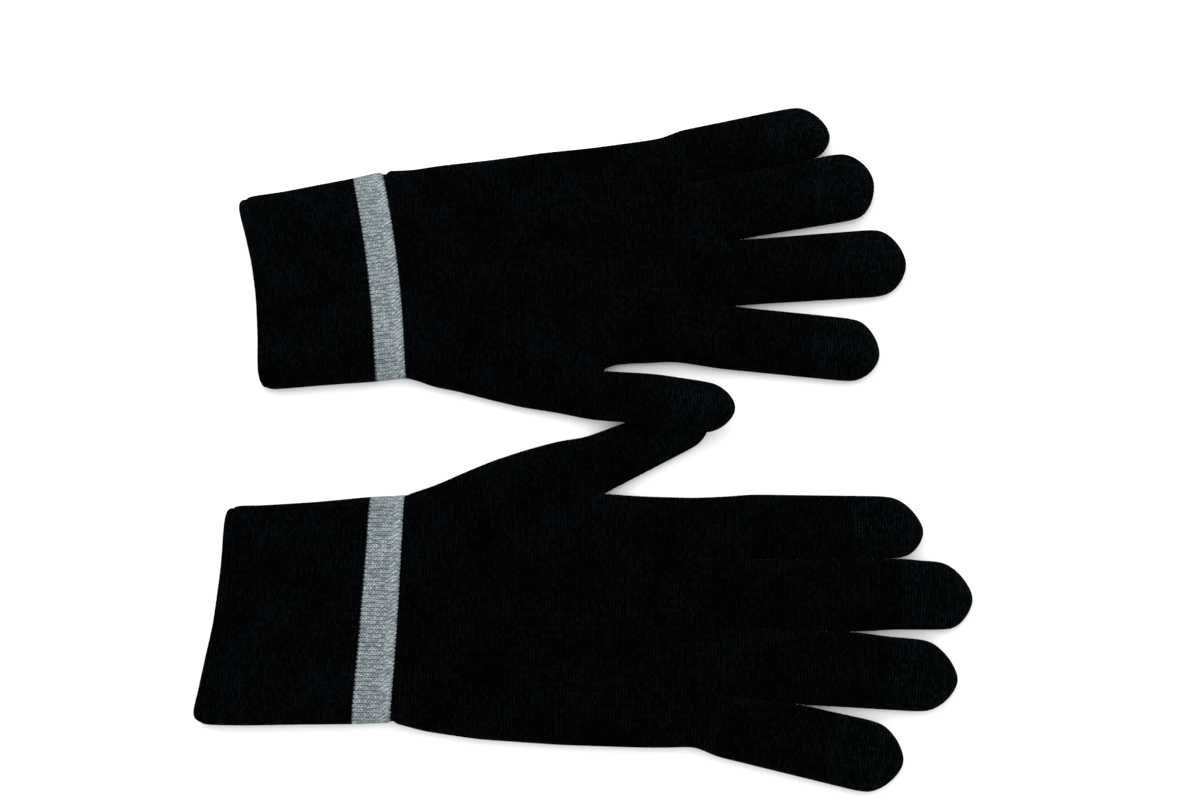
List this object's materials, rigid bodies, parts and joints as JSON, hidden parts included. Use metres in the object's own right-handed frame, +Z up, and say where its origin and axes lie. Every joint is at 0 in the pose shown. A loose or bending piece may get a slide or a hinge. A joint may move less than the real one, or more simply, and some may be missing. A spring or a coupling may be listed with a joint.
{
  "type": "pair of touchscreen gloves",
  "caption": "Pair of plain knitted gloves with a double cuff, a contrasting stripe at the wrist and conductive fingertips for touchscreens, lying flat with the palms up.",
  "frame": {"origin": "centre of the pair's box, on the surface that the gloves lie on", "axes": "+X towards the fingertips, +Y from the left glove towards the right glove, +Z up through the thickness"},
  "size_m": [0.2554, 0.2478, 0.0156],
  "materials": {
    "black_knit": "fine plain knit, matt, slightly brushed",
    "cuff_knit": "fine plain knit, double layer",
    "facing_knit": "reverse of plain knit",
    "grey_stripe_knit": "heather grey plain knit",
    "seam_yarn": "linked stitches",
    "conductive_knit": "knit with metal-coated yarn, slight sheen"
  },
  "bodies": {
    "left_hand": {"left_hand": "black_knit"},
    "left_cuff": {"left_cuff": "cuff_knit", "left_cuff_facing": "facing_knit", "left_stripe": "grey_stripe_knit", "left_linking_seam": "seam_yarn"},
    "left_thumb": {"left_thumb": "black_knit", "left_thumb_tip": "conductive_knit"},
    "left_index_finger": {"left_index_finger": "black_knit"},
    "left_index_finger_tip": {"left_index_finger_tip": "conductive_knit"},
    "left_middle_finger": {"left_middle_finger": "black_knit"},
    "left_middle_finger_tip": {"left_middle_finger_tip": "conductive_knit"},
    "left_ring_finger": {"left_ring_finger": "black_knit"},
    "left_ring_finger_tip": {"left_ring_finger_tip": "conductive_knit"},
    "left_little_finger": {"left_little_finger": "black_knit"},
    "left_little_finger_tip": {"left_little_finger_tip": "conductive_knit"},
    "right_hand": {"right_hand": "black_knit"},
    "right_cuff": {"right_cuff": "cuff_knit", "right_cuff_facing": "facing_knit", "right_stripe": "grey_stripe_knit", "right_linking_seam": "seam_yarn"},
    "right_thumb": {"right_thumb": "black_knit"},
    "right_thumb_tip": {"right_thumb_tip": "conductive_knit"},
    "right_index_finger": {"right_index_finger": "black_knit"},
    "right_index_finger_tip": {"right_index_finger_tip": "conductive_knit"},
    "right_middle_finger": {"right_middle_finger": "black_knit"},
    "right_middle_finger_tip": {"right_middle_finger_tip": "conductive_knit"},
    "right_ring_finger": {"right_ring_finger": "black_knit"},
    "right_ring_finger_tip": {"right_ring_finger_tip": "conductive_knit"},
    "right_little_finger": {"right_little_finger": "black_knit"},
    "right_little_finger_tip": {"right_little_finger_tip": "conductive_knit"}
  },
  "joints": [
    {"name": "left_wrist_fold", "type": "hinge", "parent": "left_hand", "child": "left_cuff", "pos_m": [-0.06585, -0.0627, 0.0086], "axis": [0.0262, 0.9997, 0], "range_deg": [0, 60]},
    {"name": "left_thumb_swing", "type": "hinge", "parent": "left_hand", "child": "left_thumb", "pos_m": [0.0043, -0.0232, 0.0033], "axis": [0, 0, -1], "range_deg": [0, 15]},
    {"name": "left_index_curl", "type": "hinge", "parent": "left_hand", "child": "left_index_finger", "pos_m": [0.05345, -0.03545, 0.0086], "axis": [0, -1, 0], "range_deg": [0, 80]},
    {"name": "left_index_tip_curl", "type": "hinge", "parent": "left_index_finger", "child": "left_index_finger_tip", "pos_m": [0.08845, -0.03545, 0.0076], "axis": [0, -1, 0], "range_deg": [0, 60]},
    {"name": "left_middle_curl", "type": "hinge", "parent": "left_hand", "child": "left_middle_finger", "pos_m": [0.05594, -0.05844, 0.0086], "axis": [-0.0436, -0.999, 0], "range_deg": [0, 80]},
    {"name": "left_middle_tip_curl", "type": "hinge", "parent": "left_middle_finger", "child": "left_middle_finger_tip", "pos_m": [0.10389, -0.06054, 0.0076], "axis": [-0.0436, -0.999, 0], "range_deg": [0, 60]},
    {"name": "left_ring_curl", "type": "hinge", "parent": "left_hand", "child": "left_ring_finger", "pos_m": [0.0532, -0.08177, 0.0086], "axis": [-0.1045, -0.9945, 0], "range_deg": [0, 80]},
    {"name": "left_ring_tip_curl", "type": "hinge", "parent": "left_ring_finger", "child": "left_ring_finger_tip", "pos_m": [0.09696, -0.08637, 0.0076], "axis": [-0.1045, -0.9945, 0], "range_deg": [0, 60]},
    {"name": "left_little_curl", "type": "hinge", "parent": "left_hand", "child": "left_little_finger", "pos_m": [0.04169, -0.1016, 0.0086], "axis": [-0.2419, -0.9703, 0], "range_deg": [0, 80]},
    {"name": "left_little_tip_curl", "type": "hinge", "parent": "left_little_finger", "child": "left_little_finger_tip", "pos_m": [0.07759, -0.11055, 0.0076], "axis": [-0.2419, -0.9703, 0], "range_deg": [0, 60]},
    {"name": "right_wrist_fold", "type": "hinge", "parent": "right_hand", "child": "right_cuff", "pos_m": [-0.07135, 0.05648, 0.0086], "axis": [-0.1392, 0.9903, 0], "range_deg": [0, 60]},
    {"name": "right_thumb_curl", "type": "hinge", "parent": "right_hand", "child": "right_thumb", "pos_m": [0.00288, 0.0121, 0.0086], "axis": [-0.1564, -0.9877, 0], "range_deg": [0, 60]},
    {"name": "right_thumb_tip_curl", "type": "hinge", "parent": "right_thumb", "child": "right_thumb_tip", "pos_m": [0.02461, 0.00866, 0.01556], "axis": [-0.1564, -0.9877, 0], "range_deg": [0, 45]},
    {"name": "right_index_curl", "type": "hinge", "parent": "right_hand", "child": "right_index_finger", "pos_m": [0.04611, 0.03277, 0.0086], "axis": [-0.1305, -0.9914, 0], "range_deg": [0, 80]},
    {"name": "right_index_tip_curl", "type": "hinge", "parent": "right_index_finger", "child": "right_index_finger_tip", "pos_m": [0.07684, 0.02872, 0.0076], "axis": [-0.1305, -0.9914, 0], "range_deg": [0, 60]},
    {"name": "right_middle_curl", "type": "hinge", "parent": "right_hand", "child": "right_middle_finger", "pos_m": [0.04982, 0.05752, 0.0086], "axis": [0.0698, -0.9976, 0], "range_deg": [0, 80]},
    {"name": "right_middle_tip_curl", "type": "hinge", "parent": "right_middle_finger", "child": "right_middle_finger_tip", "pos_m": [0.08873, 0.06024, 0.0076], "axis": [0.0698, -0.9976, 0], "range_deg": [0, 60]},
    {"name": "right_ring_curl", "type": "hinge", "parent": "right_hand", "child": "right_ring_finger", "pos_m": [0.04567, 0.08236, 0.0086], "axis": [0.1822, -0.9833, 0], "range_deg": [0, 80]},
    {"name": "right_ring_tip_curl", "type": "hinge", "parent": "right_ring_finger", "child": "right_ring_finger_tip", "pos_m": [0.0791, 0.08856, 0.0076], "axis": [0.1822, -0.9833, 0], "range_deg": [0, 60]},
    {"name": "right_little_curl", "type": "hinge", "parent": "right_hand", "child": "right_little_finger", "pos_m": [0.03323, 0.10397, 0.0086], "axis": [0.2079, -0.9781, 0], "range_deg": [0, 80]},
    {"name": "right_little_tip_curl", "type": "hinge", "parent": "right_little_finger", "child": "right_little_finger_tip", "pos_m": [0.06356, 0.11041, 0.0076], "axis": [0.2079, -0.9781, 0], "range_deg": [0, 60]},
    {"name": "right_glove_lift", "type": "slide", "parent": "left_hand", "child": "right_hand", "axis": [0, 0, 1], "range_m": [0, 0.15]}
  ],
  "couplings": [
    {"joint": "left_index_tip_curl", "follows": "left_index_curl", "ratio": 0.75},
    {"joint": "left_middle_tip_curl", "follows": "left_middle_curl", "ratio": 0.75},
    {"joint": "left_ring_tip_curl", "follows": "left_ring_curl", "ratio": 0.75},
    {"joint": "left_little_tip_curl", "follows": "left_little_curl", "ratio": 0.75},
    {"joint": "right_thumb_tip_curl", "follows": "right_thumb_curl", "ratio": 0.75},
    {"joint": "right_index_tip_curl", "follows": "right_index_curl", "ratio": 0.75},
    {"joint": "right_middle_tip_curl", "follows": "right_middle_curl", "ratio": 0.75},
    {"joint": "right_ring_tip_curl", "follows": "right_ring_curl", "ratio": 0.75},
    {"joint": "right_little_tip_curl", "follows": "right_little_curl", "ratio": 0.75}
  ]
}
